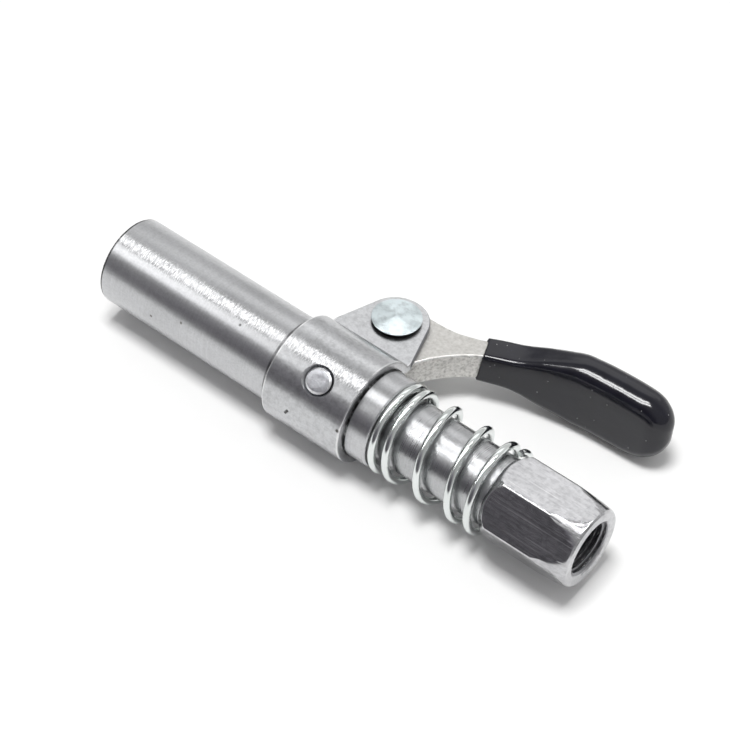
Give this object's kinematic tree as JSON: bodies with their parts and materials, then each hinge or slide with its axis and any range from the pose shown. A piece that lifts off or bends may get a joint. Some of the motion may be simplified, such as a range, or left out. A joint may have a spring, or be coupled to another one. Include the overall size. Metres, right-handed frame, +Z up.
{
  "type": "grease coupler",
  "caption": "Locking quick-release grease coupler: sliding steel sleeve over nipple jaws, coil return spring, dipped hand lever on a riveted clevis collar and a hexagon threaded inlet.",
  "frame": {"origin": "centre of the inlet thread where it starts, 0.75 mm inside the hexagon's end face, on the barrel axis", "axes": "+X out of the inlet along the barrel axis, +Z up with the coupler lying as in the picture, +Y towards the lever; the lever's plane is rolled 5 degrees below level so that the thumb paddle and the collar both meet the table"},
  "size_m": [0.0975, 0.0408, 0.019],
  "materials": {
    "sleeve_steel": "satin turned steel with fine circumferential tool marks",
    "collar_steel": "satin zinc-plated sheet steel",
    "pin_steel": "satin flat pin ends",
    "zinc_bright": "bright bluish zinc plate",
    "cast_lever": "grainy as-cast light grey",
    "vinyl_grip": "glossy black dipped vinyl",
    "spring_zinc": "bright zinc-plated spring wire",
    "barrel_steel": "fine turned steel",
    "hex_chrome": "nickel-chrome plated",
    "copper_washer": "annealed copper",
    "ball_steel": "polished bearing steel",
    "jaw_steel": "hardened and ground steel",
    "seal_rubber": "black nitrile rubber",
    "piston_brass": "turned brass"
  },
  "bodies": {
    "core": {"core_barrel": "barrel_steel", "inlet_fitting": "hex_chrome", "sealing_washer": "copper_washer", "jaw_expander_ring": "seal_rubber", "main_spring": "spring_zinc", "check_spring": "spring_zinc", "seal_spring": "spring_zinc"},
    "sleeve": {"outer_sleeve": "sleeve_steel", "clevis_collar": "collar_steel", "collar_pins": "pin_steel", "pivot_rivet": "zinc_bright"},
    "lever": {"lever": "cast_lever", "lever_grip": "vinyl_grip"},
    "jaw_1": {"jaw_1": "jaw_steel"},
    "jaw_2": {"jaw_2": "jaw_steel"},
    "jaw_3": {"jaw_3": "jaw_steel"},
    "jaw_4": {"jaw_4": "jaw_steel"},
    "seal": {"nozzle_seal": "seal_rubber", "seal_piston": "piston_brass", "stem_o_ring": "seal_rubber"},
    "ball": {"check_ball": "ball_steel"}
  },
  "joints": [
    {"name": "sleeve_slide", "type": "slide", "parent": "core", "child": "sleeve", "axis": [1, 0, 0], "range_m": [0, 0.0035], "stiffness_N_per_m": 2800, "springref_m": -0.001, "deforming": ["main_spring"]},
    {"name": "lever_hinge", "type": "hinge", "parent": "sleeve", "child": "lever", "pos_m": [-0.0509, 0.01574, -0.00138], "axis": [0, -0.0872, -0.9962], "range_deg": [0, 20]},
    {"name": "jaw_1_hinge", "type": "hinge", "parent": "core", "child": "jaw_1", "pos_m": [-0.08105, 0.004, 0], "axis": [0, 0, -1], "range_deg": [0, 2.4]},
    {"name": "jaw_2_hinge", "type": "hinge", "parent": "core", "child": "jaw_2", "pos_m": [-0.08105, 0, 0.004], "axis": [0, 1, 0], "range_deg": [0, 2.4]},
    {"name": "jaw_3_hinge", "type": "hinge", "parent": "core", "child": "jaw_3", "pos_m": [-0.08105, -0.004, 0], "axis": [0, 0, 1], "range_deg": [0, 2.4]},
    {"name": "jaw_4_hinge", "type": "hinge", "parent": "core", "child": "jaw_4", "pos_m": [-0.08105, 0, -0.004], "axis": [0, -1, 0], "range_deg": [0, 2.4]},
    {"name": "seal_slide", "type": "slide", "parent": "core", "child": "seal", "axis": [1, 0, 0], "range_m": [0, 0.0012], "stiffness_N_per_m": 800, "springref_m": -0.0005, "deforming": ["seal_spring"]},
    {"name": "ball_slide", "type": "slide", "parent": "core", "child": "ball", "axis": [-1, 0, 0], "range_m": [0, 0.0012], "stiffness_N_per_m": 300, "springref_m": -0.0005, "deforming": ["check_spring"]}
  ],
  "couplings": [
    {"joint": "lever_hinge", "follows": "sleeve_slide", "rad_per_m": 99.732},
    {"joint": "jaw_1_hinge", "follows": "sleeve_slide", "rad_per_m": 11.968},
    {"joint": "jaw_2_hinge", "follows": "sleeve_slide", "rad_per_m": 11.968},
    {"joint": "jaw_3_hinge", "follows": "sleeve_slide", "rad_per_m": 11.968},
    {"joint": "jaw_4_hinge", "follows": "sleeve_slide", "rad_per_m": 11.968}
  ]
}
